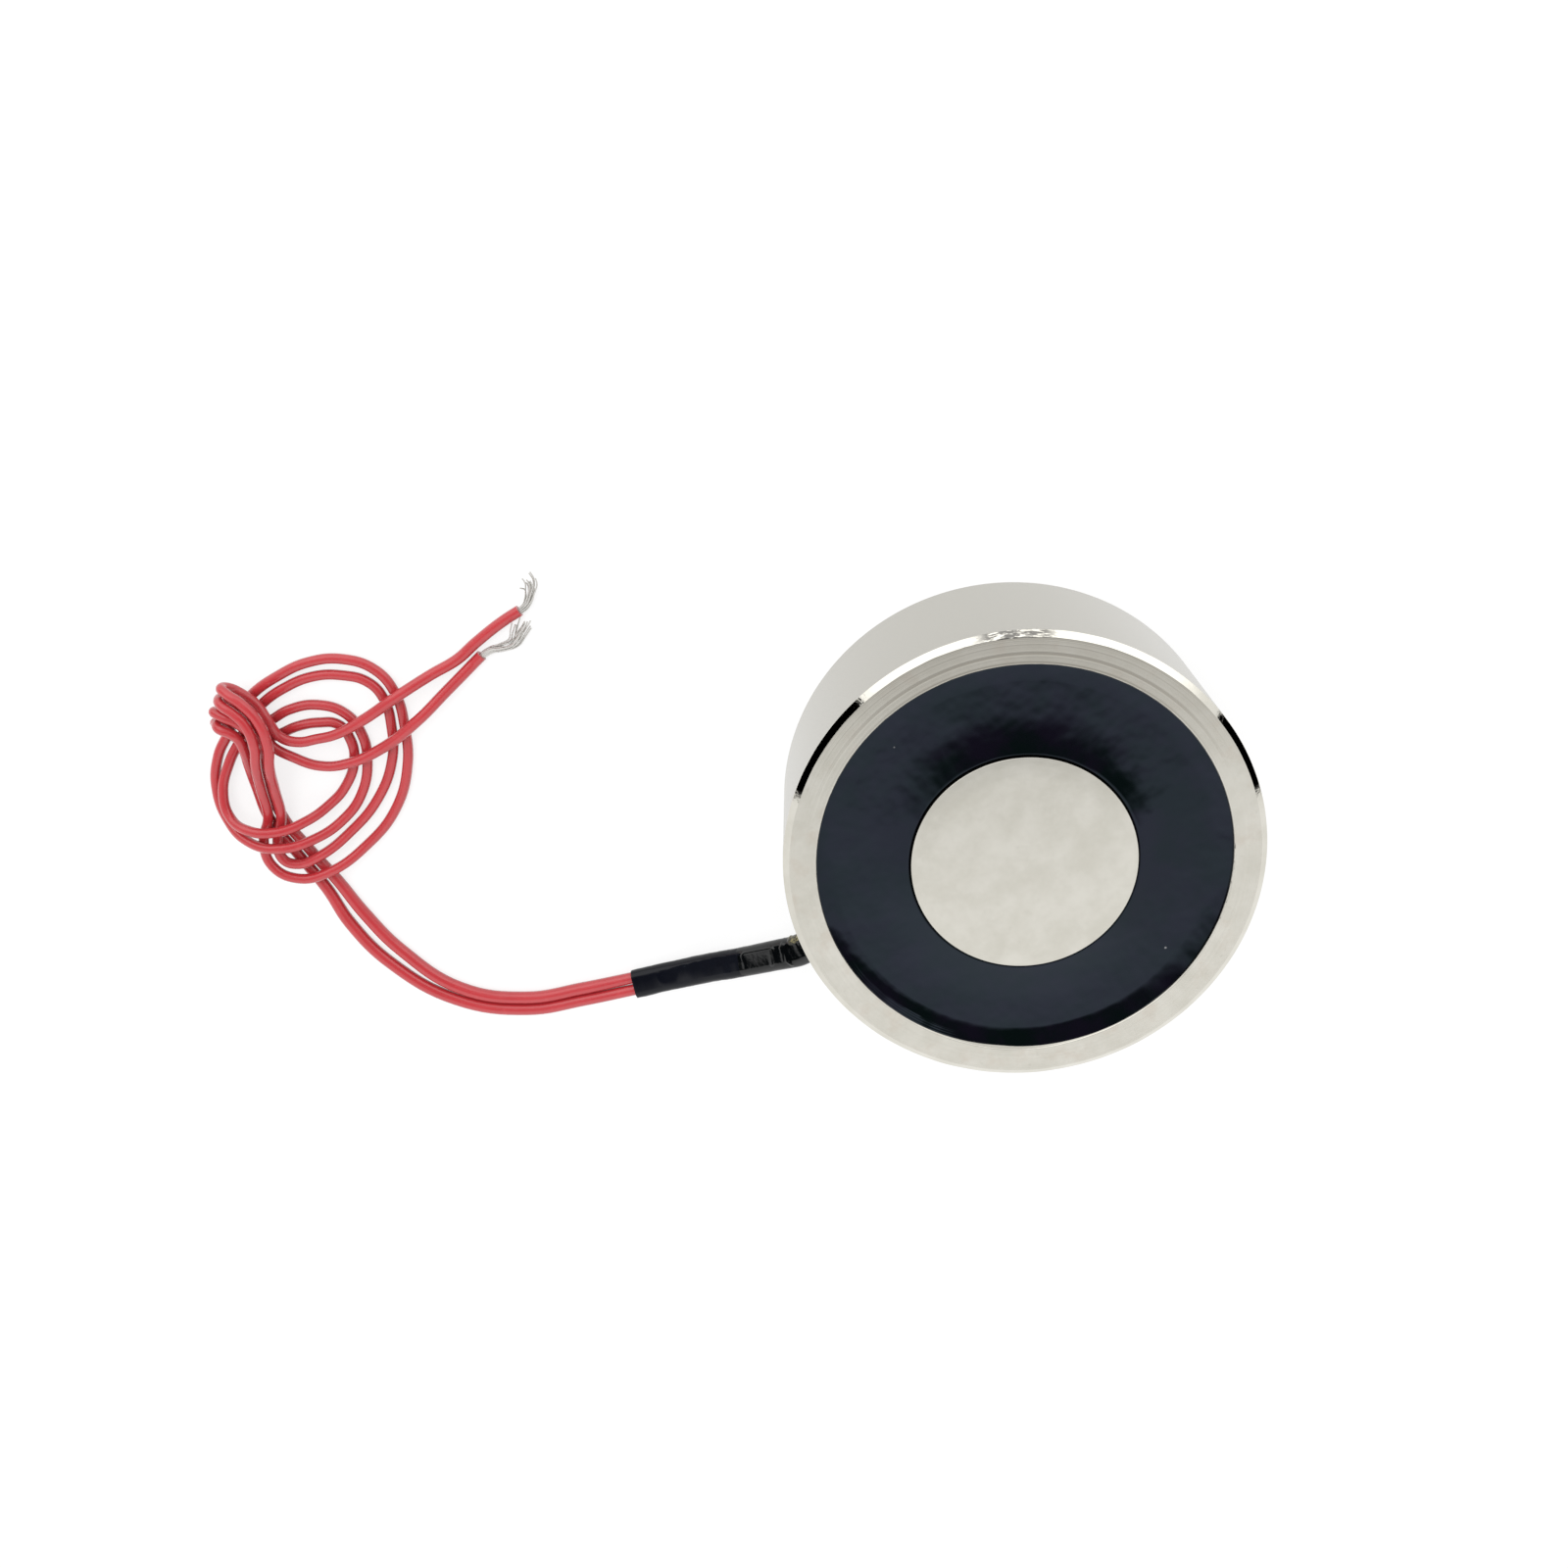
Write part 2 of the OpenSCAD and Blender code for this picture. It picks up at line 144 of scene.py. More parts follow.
class Tone:
    """A node's output; arithmetic on it adds Math nodes to its tree."""

    def __init__(self, board, socket):
        self.board, self.socket = board, socket

    def __add__(self, other):
        return self.board.math("ADD", self, other)

    def __sub__(self, other):
        return self.board.math("SUBTRACT", self, other)

    def __rsub__(self, other):
        return self.board.math("SUBTRACT", other, self)

    def __mul__(self, other):
        return self.board.math("MULTIPLY", self, other)

    def __truediv__(self, other):
        return self.board.math("DIVIDE", self, other)

    __radd__, __rmul__ = __add__, __mul__


class Board:
    """A material's or world's node tree, filled from empty."""

    def __init__(self, owner):
        owner.use_nodes = True
        self.tree = owner.node_tree
        self.tree.nodes.clear()

    def node(self, kind, settings={}, sockets={}, out=0):
        made = self.tree.nodes.new(kind)
        for name, value in settings.items():
            setattr(made, name, value)
        for name, value in sockets.items():
            if isinstance(value, Tone):
                self.tree.links.new(value.socket, made.inputs[name])
            else:
                made.inputs[name].default_value = value
        return Tone(self, made.outputs[out]) if made.outputs else None

    def output(self, tone, name):
        """Another output of the node that a tone comes from."""
        return Tone(self, tone.socket.node.outputs[name])

    def math(self, operation, *values):
        return self.node("ShaderNodeMath", {"operation": operation}, dict(enumerate(values)))

    def most(self, first, *others):
        """The largest of some values."""
        for other in others:
            first = self.math("MAXIMUM", first, other)
        return first

    def vector(self, operation, *values, out=0):
        return self.node("ShaderNodeVectorMath", {"operation": operation}, dict(enumerate(values)), out)

    def dot(self, a, b):
        return self.vector("DOT_PRODUCT", a, b, out="Value")

    def place(self):
        """Where a point of the surface is in the part's frame, in millimetres."""
        here = self.node("ShaderNodeTexCoord", out="Object")
        return self.vector("MULTIPLY", here, (1 / MM,) * 3)

    def parts_of(self, point):
        split = self.node("ShaderNodeSeparateXYZ", {}, {0: point})
        return [self.output(split, axis) for axis in "XYZ"]

    def joined(self, x, y, z):
        return self.node("ShaderNodeCombineXYZ", {}, {0: x, 1: y, 2: z})

    def grain(self, point, scale, detail=3, roughness=0.5):
        """Soft noise from 0 to 1 with a given number of blotches to the millimetre."""
        return self.node("ShaderNodeTexNoise", {}, {
            "Vector": point, "Scale": scale, "Detail": detail, "Roughness": roughness})

    def rings(self, along, scale, detail=3):
        """Noise that changes along one value only."""
        return self.node("ShaderNodeTexNoise", {"noise_dimensions": "1D"}, {
            "W": along, "Scale": scale, "Detail": detail, "Roughness": 0.6})

    def rise(self, value, low, high):
        """A soft step from 0 at low to 1 at high."""
        return self.node("ShaderNodeMapRange", {"interpolation_type": "SMOOTHSTEP"}, {
            "Value": value, "From Min": low, "From Max": high})

    def mix(self, share, a, b):
        return self.node("ShaderNodeMix", {"data_type": "RGBA"}, {0: share, 6: a, 7: b}, 2)

    def bump(self, height, depth_mm):
        """A surface normal from a height of 0 to 1 that stands for a depth in millimetres."""
        return self.node("ShaderNodeBump", {}, {
            "Height": height, "Distance": depth_mm * MM, "Strength": 1})

    def coated(self, **sockets):
        """The finished surface, from the values of the shader's sockets."""
        named = {name.replace("_", " "): value for name, value in sockets.items()}
        shader = self.node("ShaderNodeBsdfPrincipled", {}, named)
        self.node("ShaderNodeOutputMaterial", {}, {"Surface": shader})


def finish_named(name):
    made = bpy.data.materials.new(name)
    return made, Board(made)


def rgb(r, g, b):
    return (r, g, b, 1)


# Finishes

def pot_zones(b, radius, z):
    """Shares from 0 to 1 that tell apart the front chamfer, the ring face, the core's face and the rest."""
    chamfer = b.rise(radius, POT_R - CHAMFER_W - 0.05, POT_R - CHAMFER_W + 0.02)
    chamfer = chamfer * b.rise(z, POT_H - CHAMFER_H - 0.05, POT_H - CHAMFER_H + 0.02)
    face = b.rise(z, POT_H - 0.1, POT_H - 0.05) * (1 - chamfer)
    ring = face * b.rise(radius, BORE_R - 1, BORE_R - 0.5)
    core = face * (1 - b.rise(radius, CORE_R, CORE_R + 0.5))
    return chamfer, ring, core, (1 - face) * (1 - chamfer)


def scrape_marks(b, here, radius, turn):
    """Streaks that run round the axis near the scraped stretch."""
    near = 1 - b.rise(b.vector("DISTANCE", here, SCRAPE, out="Value"), 2.5, 5)
    streaks = b.grain(b.joined(6 * radius, 20 * turn, 0), 1, 4, 0.6)
    return near * b.rise(streaks, 0.42, 0.52)


def nickel_plate():
    """Bright plate over turned iron, with tool lines on the ring face, which has painted shade on one side,
    darker toward the picture's top, and a mirror-sharp chamfer."""
    made, b = finish_named("nickel_plate")
    here = b.place()
    x, y, z = b.parts_of(here)
    radius = b.vector("LENGTH", b.joined(x, y, 0), out="Value")
    turn = b.math("ARCTAN2", y, x)
    chamfer, ring, core, wall = pot_zones(b, radius, z)
    arcs = b.grain(b.joined(radius * 5, turn * 1.5, 0), 1, 4, 0.65)
    tool_lines = b.rings(radius, 3.2, 3)
    blotch = b.grain(here, 0.25, 4, 0.6)
    warm = b.grain(b.vector("ADD", here, (40, 0, 0)), 0.35, 3, 0.6)
    fine = b.grain(here, 7, 3, 0.7)
    scuff = b.rise(b.grain(here, 0.9, 5, 0.7), 0.58, 0.75)
    tone = b.mix(b.rise(blotch, 0.25, 0.75), rgb(0.645, 0.625, 0.555), rgb(0.735, 0.715, 0.65))
    tone = b.mix(0.45 * b.rise(warm, 0.5, 0.75) * ring, tone, rgb(0.63, 0.56, 0.48))
    tone = b.mix(0.35 * scuff * (ring + 0.4 * core), tone, rgb(0.47, 0.445, 0.39))
    # Painted shade: the ring face is darkened toward the picture's top, most along the tool lines
    painted_shade_top = ring * b.rise(b.dot(here, TOPWARD), 9, 21)
    tone = b.mix(painted_shade_top * (0.4 + 0.6 * b.rise(tool_lines, 0.5, 0.64)), tone, rgb(0.44, 0.415, 0.36))
    base = b.mix(wall, tone, b.mix(fine, rgb(0.39, 0.375, 0.335), rgb(0.54, 0.525, 0.47)))
    base = b.mix(0.9 * chamfer * scrape_marks(b, here, radius, turn), base, rgb(0.12, 0.115, 0.11))
    rough = 0.23 + 0.05 * (fine - 0.5) + 0.1 * (arcs - 0.5) * ring
    rough = rough + 0.08 * (blotch - 0.5) * core - 0.08 * core
    rough = rough * (1 - chamfer)
    height = 0.8 * ring * (0.75 * tool_lines + 0.25 * arcs) + 0.05 * core * arcs + 0.06 * fine
    height = height + 0.5 * core * b.grain(here, 0.4, 2) + 0.5 * chamfer * b.grain(here, 1.2, 3, 0.6)
    b.coated(Base_Color=base, Metallic=1, Roughness=rough, Normal=b.bump(height, 0.02))
    return made


def casting_resin():
    made, b = finish_named("casting_resin")
    here = b.place()
    tint = b.rise(b.grain(b.vector("ADD", here, (0, 70, 0)), 0.22, 4, 0.6), 0.35, 0.65)
    fine = b.grain(here, 6, 2)
    dots = b.node("ShaderNodeTexVoronoi", {}, {"Vector": here, "Scale": 0.2}, "Distance")
    speck = 1 - b.rise(dots, 0.014, 0.034)
    tone = b.mix(tint, rgb(0.0018, 0.0038, 0.0038), rgb(0.0044, 0.0036, 0.0074))
    base = b.mix(speck, tone, rgb(0.2, 0.2, 0.2))
    height = b.grain(here, 0.25, 2) + 0.007 * fine + 0.04 * speck
    b.coated(Base_Color=base, Roughness=0, IOR=1.5, Specular_IOR_Level=0.37,
             Specular_Tint=rgb(0.62, 0.77, 1), Normal=b.bump(height, 0.14))
    return made


def shrink_sleeve():
    made, b = finish_named("shrink_sleeve")
    here = b.place()
    blotch = b.grain(here, 0.7, 4, 0.6)
    fine = b.grain(here, 7, 3)
    scuff = b.rise(b.grain(here, 2.4, 4, 0.7), 0.6, 0.72)
    base = b.mix(blotch, rgb(0.0015, 0.0017, 0.004), rgb(0.003, 0.0037, 0.0075))
    base = b.mix(0.3 * scuff, base, rgb(0.02, 0.023, 0.03))
    rough = 0.2 + 0.12 * (blotch - 0.5) + 0.06 * (fine - 0.5)
    b.coated(Base_Color=base, Roughness=rough, Specular_IOR_Level=0.06, Specular_Tint=rgb(0.85, 0.92, 1),
             Coat_Weight=0.4, Coat_Roughness=0, Normal=b.bump(0.4 * blotch + 0.2 * fine, 0.05))
    return made


def exit_glue():
    made, b = finish_named("exit_glue")
    here = b.place()
    x, y = b.parts_of(here)[:2]
    wave = b.grain(here, 0.9, 3, 0.55)
    corner = (1 - b.rise(x, POT_R + 3.4, POT_R + 4)) * b.rise(0 - y, 1.15, 1.4)
    fleck = b.rise(b.grain(here, 4, 4, 0.7), 0.4, 0.65) * corner
    base = b.mix(fleck, rgb(0.002, 0.0025, 0.003), rgb(0.30, 0.26, 0.11))
    b.coated(Base_Color=base, Roughness=0.4 * fleck, Specular_IOR_Level=0.5,
             Normal=b.bump(wave + 0.15 * fleck, 0.05))
    return made


def red_insulation():
    made, b = finish_named("red_insulation")
    here = b.place()
    blotch = b.grain(here, 0.3, 4, 0.6)
    fine = b.grain(here, 5, 3)
    rub = b.rise(b.grain(here, 0.9, 3, 0.6), 0.58, 0.74)
    base = b.mix(blotch, rgb(0.43, 0.026, 0.033), rgb(0.52, 0.036, 0.044))
    base = b.mix(0.15 * rub, base, rgb(0.66, 0.10, 0.11))
    rough = 0.24 + 0.12 * (blotch - 0.5) + 0.03 * (fine - 0.5)
    b.coated(Base_Color=base, Roughness=rough, IOR=1.52, Specular_IOR_Level=0.45,
             Coat_Weight=0.7, Coat_Roughness=0, Normal=b.bump(0.4 * blotch + 0.03 * fine, 0.05))
    return made


def tinned_wire():
    made, b = finish_named("tinned_wire")
    here = b.place()
    blotch = b.grain(here, 2.5, 4, 0.6)
    base = b.mix(blotch, rgb(0.62, 0.60, 0.56), rgb(0.78, 0.77, 0.75))
    b.coated(Base_Color=base, Metallic=1, Roughness=0.22 + 0.25 * blotch, Normal=b.bump(blotch, 0.01))
    return made


def moulded_nylon():
    made, b = finish_named("moulded_nylon")
    here = b.place()
    blotch, fine = b.grain(here, 0.3, 3), b.grain(here, 6, 3)
    base = b.mix(blotch, rgb(0.68, 0.65, 0.54), rgb(0.78, 0.75, 0.64))
    b.coated(Base_Color=base, Roughness=0.42 + 0.15 * fine, Normal=b.bump(fine, 0.02))
    return made


def wound_copper():
    made, b = finish_named("wound_copper")
    here = b.place()
    half_wire = 0.15
    turns = b.math("PINGPONG", b.parts_of(here)[2], half_wire) / half_wire
    blotch = b.grain(here, 0.5, 4)
    base = b.mix(blotch, rgb(0.34, 0.10, 0.035), rgb(0.52, 0.19, 0.07))
    b.coated(Base_Color=base, Metallic=0.9, Roughness=0.28 + 0.15 * blotch, Normal=b.bump(turns, 0.1))
    return made


def film_tape():
    made, b = finish_named("film_tape")
    here = b.place()
    wrinkle = b.grain(here, 0.6, 5, 0.6)
    base = b.mix(wrinkle, rgb(0.62, 0.36, 0.025), rgb(0.78, 0.50, 0.05))
    b.coated(Base_Color=base, Roughness=0.2 + 0.2 * wrinkle, Normal=b.bump(wrinkle, 0.1))
    return made


def soft_solder():
    made, b = finish_named("soft_solder")
    here = b.place()
    crust = b.grain(here, 2, 5, 0.65)
    base = b.mix(crust, rgb(0.45, 0.45, 0.44), rgb(0.66, 0.66, 0.66))
    b.coated(Base_Color=base, Metallic=1, Roughness=0.3 + 0.3 * crust, Normal=b.bump(crust, 0.05))
    return made


def joint_sleeving():
    made, b = finish_named("joint_sleeving")
    here = b.place()
    weave = b.grain(here, 4, 3)
    base = b.mix(weave, rgb(0.02, 0.02, 0.024), rgb(0.05, 0.05, 0.055))
    b.coated(Base_Color=base, Roughness=0.5 + 0.2 * weave, Normal=b.bump(weave, 0.04))
    return made


# Meshes

def piece_from(name, points, faces, finish, slot, smooth_angle=SHARP_ANGLE):
    """A closed mesh piece from points in millimetres."""
    mesh = bpy.data.meshes.new(name)
    mesh.from_pydata([Vector(p) * MM for p in points], [], faces)
    mesh.validate()
    mesh.polygons.foreach_set("use_smooth", [True] * len(mesh.polygons))
    mesh.set_sharp_from_angle(angle=math.radians(smooth_angle))
    mesh.materials.append(finish)
    made = bpy.data.objects.new(name, mesh)
    bpy.context.scene.collection.objects.link(made)
    return made


def eased(corners, steps=4):
    """A profile with its corners rounded; each corner is a radius, a height and the length of its rounding.
    A point just before and one just past each rounding keep the flats beside it flat."""
    profile = []
    for i, (r, z, ease) in enumerate(corners):
        here = Vector((r, z))
        if not ease:
            profile.append(here)
            continue
        back = (Vector(corners[i - 1][:2]) - here).normalized() * ease
        on = (Vector(corners[(i + 1) % len(corners)][:2]) - here).normalized() * ease
        profile.append(here + 2 * back)
        profile += [here + (1 - k / steps) ** 2 * back + (k / steps) ** 2 * on for k in range(steps + 1)]
        profile.append(here + 2 * on)
    return profile


def lathe(profile_at, steps, closed):
    """Points and faces of a turned form.
    profile_at gives the profile at an angle, and a profile that isn't closed ends on the axis."""
    points, faces = [], []
    profiles = [profile_at(2 * math.pi * k / steps) for k in range(steps)]
    n = len(profiles[0])
    for k, profile in enumerate(profiles):
        a = 2 * math.pi * k / steps
        points += [(p[0] * math.cos(a), p[0] * math.sin(a), p[1]) for p in profile]
    for k in range(steps):
        here, after = k * n, (k + 1) % steps * n
        for i in range(n if closed else n - 1):
            j = (i + 1) % n
            faces.append((here + i, after + i, after + j, here + j))
    if not closed:
        points, faces = close_on_axis(points, faces, n, steps)
    return points, faces


def close_on_axis(points, faces, n, steps):
    """Merges each end of an open profile into one point on the axis."""
    first, last = len(points), len(points) + 1
    points += [points[0], points[n - 1]]
    ends = {k * n: first for k in range(steps)}
    ends.update({k * n + n - 1: last for k in range(steps)})
    closed = []
    for face in faces:
        ids = [ends.get(i, i) for i in face]
        closed.append([v for i, v in enumerate(ids) if v != ids[i - 1]])
    used = sorted({i for face in closed for i in face})
    fresh = {old: new for new, old in enumerate(used)}
    return [points[i] for i in used], [[fresh[i] for i in face] for face in closed]


def tube_faces(count, sides, looped):
    """Faces of a tube of rings, joined end to end or with flat ends."""
    faces = []
    for i in range(count if looped else count - 1):
        here, after = i * sides, (i + 1) % count * sides
        for k in range(sides):
            j = (k + 1) % sides
            faces.append((here + k, here + j, after + j, after + k))
    if not looped:
        faces.append(tuple(reversed(range(sides))))
        faces.append(tuple(range((count - 1) * sides, count * sides)))
    return faces


def smooth_route(route, steps):
    """More points on a smooth curve through a route."""
    fuller = []
    for i in range(len(route) - 1):
        p0, p1 = route[max(i - 1, 0)], route[i]
        p2, p3 = route[i + 1], route[min(i + 2, len(route) - 1)]
        for k in range(steps):
            t = k / steps
            fuller.append(0.5 * (2 * p1 + (p2 - p0) * t + (2 * p0 - 5 * p1 + 4 * p2 - p3) * t ** 2
                                 + (3 * p1 - p0 - 3 * p2 + p3) * t ** 3))
    return fuller + [route[-1]]


# Leads

def place(out, across, lift):
    return Vector((POT_R + out, across, WIRE_R + lift))


def heading(route, i):
    return route[min(i + 1, len(route) - 1)] - route[max(i - 1, 0)]


def left_of(route, i):
    d = heading(route, i)
    return Vector((-d.y, d.x, 0)).normalized()


def sleeve_lean(out):
    """How far the sleeve and the pair in it lean, in radians:
    most at the exit, and less where they come down to the floor."""
    share = min(1, max(0, (out - LEAN_FROM) / (LEAN_TO - LEAN_FROM)))
    return math.radians(EXIT_LEAN + (FLOOR_LEAN - EXIT_LEAN) * share * share * (3 - 2 * share))


def sleeve_middle():
    return [place(out, across, share * (EXIT_Z - WIRE_R)) for out, across, share in SLEEVED]


def lead_route(way):
    """One lead from its joint to the end of its insulation; way is 1 for lead a and -1 for lead b."""
    root = [Vector((JOINT_R * math.cos(math.radians(a)), way * JOINT_R * math.sin(math.radians(a)), EXIT_Z))
            for a in ROOT]
    root.append(Vector((BORE_R - ROOT_IN, way * ROOT_APART, EXIT_Z)))
    middle = sleeve_middle() + [place(*row[:3]) for row in BUNDLE]
    gaps = [PAIR_GAP] * len(SLEEVED) + [row[3] for row in BUNDLE]
    leans = [sleeve_lean(row[0]) for row in SLEEVED]
    leans += [math.radians(row[4]) if len(row) > 4 else 0 for row in BUNDLE]
    paired = []
    for i, (p, gap, lean) in enumerate(zip(middle, gaps, leans)):
        side = left_of(middle, i) * math.copysign(math.cos(lean), gap) + Vector((0, 0, math.sin(lean)))
        paired.append(p + way * (WIRE_R + abs(gap) / 2) * side)
    return root + paired + [place(*p) for p in (END_A if way > 0 else END_B)]


def soft_handles(route, i):
    """Handles of a curve's point along the mean of the two headings there, kept off the floor."""
    here, handle = route[i], 0.39
    before = here - route[i - 1] if i else route[1] - here
    after = route[i + 1] - here if i + 1 < len(route) else before
    along = (before.normalized() + after.normalized()).normalized() * handle
    low = min(here.z, WIRE_R)
    ends = here - along * before.length, here + along * after.length
    return [Vector((e.x, e.y, max(e.z, low))) for e in ends]


def girth(i):
    """The share of its thickness that a lead has at a point of its route:
    most before the bundle, and less where it is wound."""
    return [share for first, share in GIRTHS if first <= i][-1]


def even(i):
    """The same thickness at every point."""
    return 1


def cord_piece(name, routes, radius, finish, roundness, thickness):
    """A curve piece with one round spline to each route.
    thickness gives the share of the radius at each point."""
    curve = bpy.data.curves.new(name, "CURVE")
    curve.dimensions, curve.resolution_u = "3D", 8
    curve.bevel_depth, curve.bevel_resolution = radius * MM, roundness
    curve.use_fill_caps = True
    for route in routes:
        spline = curve.splines.new("BEZIER")
        spline.bezier_points.add(len(route) - 1)
        for i, point in enumerate(spline.bezier_points):
            left, right = soft_handles(route, i)
            point.handle_left_type = point.handle_right_type = "FREE"
            point.co, point.handle_left, point.handle_right = route[i] * MM, left * MM, right * MM
            point.radius = thickness(i)
    curve.materials.append(finish)
    made = bpy.data.objects.new(name, curve)
    bpy.context.scene.collection.objects.link(made)
    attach(made, "root")
    return made


def bare_strands(name, middle, seed, count, spread, finish, node):
    """The strands of one lead: together where they leave the insulation, and apart at their ends."""
    draw, twist, shortest = random.Random(seed), 1.2, 0.75
    route = [place(*p) for p in middle]
    routes = []
    for k in range(count):
        a = 2 * math.pi * k / count
        near = STRAND_RING if k else 0
        out = Vector((draw.uniform(-1, 1), draw.uniform(-1, 1), draw.uniform(-0.3, 1))) * spread
        reach = draw.uniform(shortest, 1)
        strand = []
        for i in range(len(route)):
            share = i / (len(route) - 1)
            side = left_of(route, i)
            turned = a + twist * share
            ring = near * (math.cos(turned) * side + Vector((0, 0, math.sin(turned))))
            p = route[i] + ring * (1 + share) + out * share ** 2
            if share == 1:
                p = strand[-1] + (p - strand[-1]) * reach
            p.z = max(p.z, STRAND_LOW)
            strand.append(p)
        routes.append(strand)
    made = cord_piece(name, routes, STRAND_R, finish, roundness=2, thickness=even)
    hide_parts(node)
    return made


# Pieces

def round_wave(angle, scale, layer):
    """Noise from -1 to 1 that closes on itself round the axis."""
    return noise.noise(Vector((math.cos(angle) * scale, math.sin(angle) * scale, layer)))


def near_angle(angle, middle, width):
    """1 at a heading round the axis, in degrees, and less and less away from it."""
    off = (math.degrees(angle) - middle + 180) % 360 - 180
    return math.exp(-(off / width) ** 2)


def steel_pot(finish):
    """The pot with its core, turned from one profile,
    with nicks along the front chamfer and a worn stretch of the pocket's rim."""
    def profile_at(angle):
        nick = 0.04 * round_wave(angle, 9, 3)
        nick += 0.12 * near_angle(angle, 240, 9) * round_wave(angle, 40, 5)
        worn = POCKET_BREAK + 0.24 * near_angle(angle, 55, 14) + 0.03 * round_wave(angle, 30, 1)
        return eased([
            (0, TAP_DEPTH + TAP_TIP, 0), (TAP_R, TAP_DEPTH, 0),
            (TAP_R, MOUTH_R - TAP_R, 0.05), (MOUTH_R, 0, 0.08),
            (POT_R - BACK_CHAMFER, 0, 0.1), (POT_R, BACK_CHAMFER, 0.1),
            (POT_R, POT_H - CHAMFER_H - nick, 0.03), (POT_R - CHAMFER_W - nick, POT_H, 0.03),
            (BORE_R + worn, POT_H, 0.03), (BORE_R, POT_H - worn, 0.03),
            (BORE_R, BASE_T, 0), (CORE_R, BASE_T, 0),
            (CORE_R, POT_H - CORE_BREAK - ROLL_OFF, 0.02), (CORE_R - CORE_BREAK, POT_H - ROLL_OFF, 0.02),
            (CORE_R - 0.7, POT_H - ROLL_OFF / 2, 0.25), (CORE_R - 2, POT_H, 0.35), (0, POT_H, 0)])
    made = piece_from("steel_pot", *lathe(profile_at, 360, False), finish, "plated_steel")
    drill_exit(made)
    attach(made, "root")
    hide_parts("pot_shell")


def drill_exit(pot):
    """Cuts the round lead hole through the side wall."""
    sides, over = 48, 2
    turns = [2 * math.pi * k / sides for k in range(sides)]
    points = [Vector((x, EXIT_R * math.cos(a), EXIT_Z + EXIT_R * math.sin(a))) * MM
              for x in (BORE_R - over, POT_R + over) for a in turns]
    drill = bpy.data.meshes.new("drill")
    drill.from_pydata(points, [], tube_faces(2, sides, False))
    cutter = bpy.data.objects.new("drill", drill)
    bpy.context.scene.collection.objects.link(cutter)
    cut = pot.modifiers.new("exit_hole", "BOOLEAN")
    cut.operation, cut.solver, cut.object = "DIFFERENCE", "EXACT", cutter
    graph = bpy.context.evaluated_depsgraph_get()
    drilled = bpy.data.meshes.new_from_object(pot.evaluated_get(graph))
    pot.modifiers.clear()
    pot.data = drilled
    pot.data.set_sharp_from_angle(angle=math.radians(SHARP_ANGLE))
    bpy.data.objects.remove(cutter)


def cast_resin(finish):
    """The resin ring, level in the middle, that creeps up the core and the pot's wall,
    sinks right beside the core, and is rippled at one stretch of the wall and laps over another."""
    creep_core, creep_wall, reach_core, reach_wall = 0.6, 0.75, 5, 2
    shrink, shrink_w = 0.5, 0.3
    ripple_h, ripple_pitch, ripple_w = 0.06, 0.24, 0.72
    lap_w, lap_h, lap_edge, lap_t = 0.25, 0.012, 0.06, 0.1

    def ripple(in_from_wall, angle):
        if in_from_wall >= ripple_w:
            return 0
        window = near_angle(angle, 19, 15) * (1 + round_wave(angle, 14, 7))
        return ripple_h * window * max(0, math.sin(2 * math.pi * in_from_wall / ripple_pitch + 2 * angle))

    def top(r, angle):
        core_rise = creep_core * max(0, 1 - (r - CORE_R) / reach_core) ** 2
        shrunk = shrink * max(0, 1 - (r - CORE_R) / shrink_w) ** 2
        uneven = 0.2 + 0.8 * max(near_angle(angle, 22, 36), near_angle(angle, 75, 40))
        wall_rise = creep_wall * uneven * max(0, 1 - (BORE_R - r) / reach_wall) ** 1.5
        return RESIN_Z + core_rise - shrunk + wall_rise + ripple(BORE_R - r, angle)

    inner = [CORE_R + 0.06 * k for k in range(6)] + [CORE_R + shrink_w + 0.235 * k for k in range(1, 21)]
    outer = [BORE_R - 0.04 * k for k in range(19)] + [BORE_R - ripple_w - 0.08 * k for k in range(1, 17)]
    foot = [(BORE_R, BASE_T), (FLANGE_R, BASE_T), (FLANGE_R, COIL_TOP), (CORE_R, COIL_TOP)]

    def profile_at(angle):
        section = [Vector((r, top(r, angle))) for r in inner + outer[::-1]]
        lap = lap_w * near_angle(angle, 143, 14) * max(0, round_wave(angle, 16, 9) + 0.35)
        edge = section[-1].y
        rim = edge + (POT_H + lap_h - edge) * min(1, lap / lap_edge)
        lip = [Vector((BORE_R + lap, rim)), Vector((BORE_R + lap, edge - lap_t))]
        return (section + lip + [Vector(p) for p in foot])[::-1]

    made = piece_from("cast_resin", *lathe(profile_at, 288, True), finish, "black_resin", 60)
    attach(made, "root")
    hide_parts("potting_resin")


def stadium(centre, along, side, half_pitch, r, sides, roll=0):
    """Outline of a flat sleeve round the pair: two half circles joined by flats, rolled by some radians."""
    up = along.cross(side).normalized()
    across = up.cross(along)
    across, up = across * math.cos(roll) + up * math.sin(roll), up * math.cos(roll) - across * math.sin(roll)
    ring = []
    for k in range(sides):
        a = 2 * math.pi * (k + 0.5) / sides
        c, s = math.cos(a), math.sin(a)
        ring.append(centre + (r * c + math.copysign(half_pitch, c)) * across + r * s * up)
    return ring


def skin_wave(q):
    """How far the sleeve's uneven skin stands out at a point."""
    return 0.03 * noise.noise(q * 0.7) + 0.03 * noise.noise(q * 2.4)


